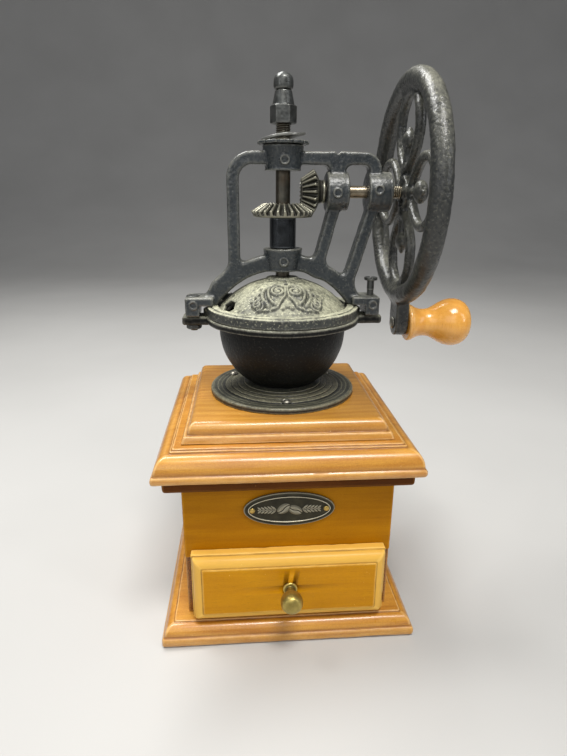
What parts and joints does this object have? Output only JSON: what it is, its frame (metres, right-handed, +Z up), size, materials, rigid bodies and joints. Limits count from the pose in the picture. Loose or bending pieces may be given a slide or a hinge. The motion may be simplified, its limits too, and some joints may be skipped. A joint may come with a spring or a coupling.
{
  "type": "manual coffee grinder",
  "caption": "Hand cranked coffee grinder: moulded wooden drawer box, iron hopper with a domed cover, arch frame, bevel gears, petal spoked hand wheel and turned wooden knob",
  "frame": {"origin": "middle of the underside of the base board", "axes": "+Z up; the drawer opens towards -Y; the crank shaft lies along X with the hand wheel at +X"},
  "size_m": [0.2061, 0.1776, 0.3419],
  "materials": {
    "stained_wood": "honey brown stained and varnished softwood, worn paler at the edges",
    "fascia_wood": "orange brown stained and varnished board",
    "drawer_front_wood": "golden varnished board",
    "drawer_wood": "unfinished pale board",
    "varnished_wood": "turned knob, clear glossy varnish",
    "black_iron": "rough casting with black paint",
    "worn_steel": "bare steel, dull and slightly rusted",
    "dark_steel": "blackened steel",
    "antique_plate": "antiqued metal plate, dark ground with a bright worn relief",
    "aged_brass": "dull aged brass"
  },
  "bodies": {
    "stand": {"base_board": "stained_wood", "side_panel_left": "stained_wood", "side_panel_right": "stained_wood", "back_panel": "stained_wood", "front_fascia": "fascia_wood", "step_board": "stained_wood", "lid_board": "stained_wood", "top_tier": "stained_wood", "name_plate": "antique_plate", "plate_nail_left": "aged_brass", "plate_nail_right": "aged_brass", "hopper_bowl": "black_iron", "flange_screw_front": "worn_steel", "flange_screw_left": "worn_steel", "flange_screw_right": "worn_steel", "outer_burr": "dark_steel", "lock_plate": "black_iron", "spring_washer": "worn_steel", "arch_frame": "black_iron", "foot_bolt_left": "worn_steel", "foot_bolt_right": "worn_steel", "foot_nut": "worn_steel", "dome_cover": "black_iron", "dome_screw_left": "worn_steel", "dome_screw_right": "worn_steel"},
    "drawer": {"drawer_front": "drawer_front_wood", "drawer_side_left": "drawer_wood", "drawer_side_right": "drawer_wood", "drawer_back": "drawer_wood", "drawer_bottom": "drawer_wood", "drawer_knob": "aged_brass", "drawer_knob_screw": "worn_steel"},
    "hatch": {"dome_hatch": "black_iron"},
    "grinder": {"vertical_shaft": "worn_steel", "bevel_gear": "worn_steel", "gear_sleeve": "dark_steel", "inner_burr": "dark_steel", "burr_nut": "dark_steel"},
    "adjuster": {"adjusting_nut": "dark_steel"},
    "crank": {"horizontal_shaft": "worn_steel", "pinion_gear": "worn_steel", "crank_wheel": "black_iron", "wheel_nut": "dark_steel", "handle_pin": "worn_steel"},
    "handle": {"handle_knob": "varnished_wood"}
  },
  "joints": [
    {"name": "crank_turn", "type": "hinge", "parent": "stand", "child": "crank", "pos_m": [0.0772, 0, 0.2725], "axis": [1, 0, 0], "continuous": true},
    {"name": "handle_spin", "type": "hinge", "parent": "crank", "child": "handle", "pos_m": [0.107, 0, 0.1893], "axis": [1, 0, 0], "continuous": true},
    {"name": "grind_turn", "type": "hinge", "parent": "stand", "child": "grinder", "pos_m": [0, 0, 0.2725], "axis": [0, 0, 1], "continuous": true},
    {"name": "adjust_turn", "type": "hinge", "parent": "grinder", "child": "adjuster", "pos_m": [0, 0, 0.3154], "axis": [0, 0, 1], "range_deg": [-360, 360]},
    {"name": "drawer_slide", "type": "slide", "parent": "stand", "child": "drawer", "axis": [0, -1, 0], "range_m": [0, 0.095]},
    {"name": "hatch_turn", "type": "hinge", "parent": "stand", "child": "hatch", "pos_m": [0, 0, 0.2], "axis": [0, 0, 1], "range_deg": [-145, 0]}
  ],
  "couplings": [
    {"joint": "grind_turn", "follows": "crank_turn", "ratio": 0.64286}
  ]
}
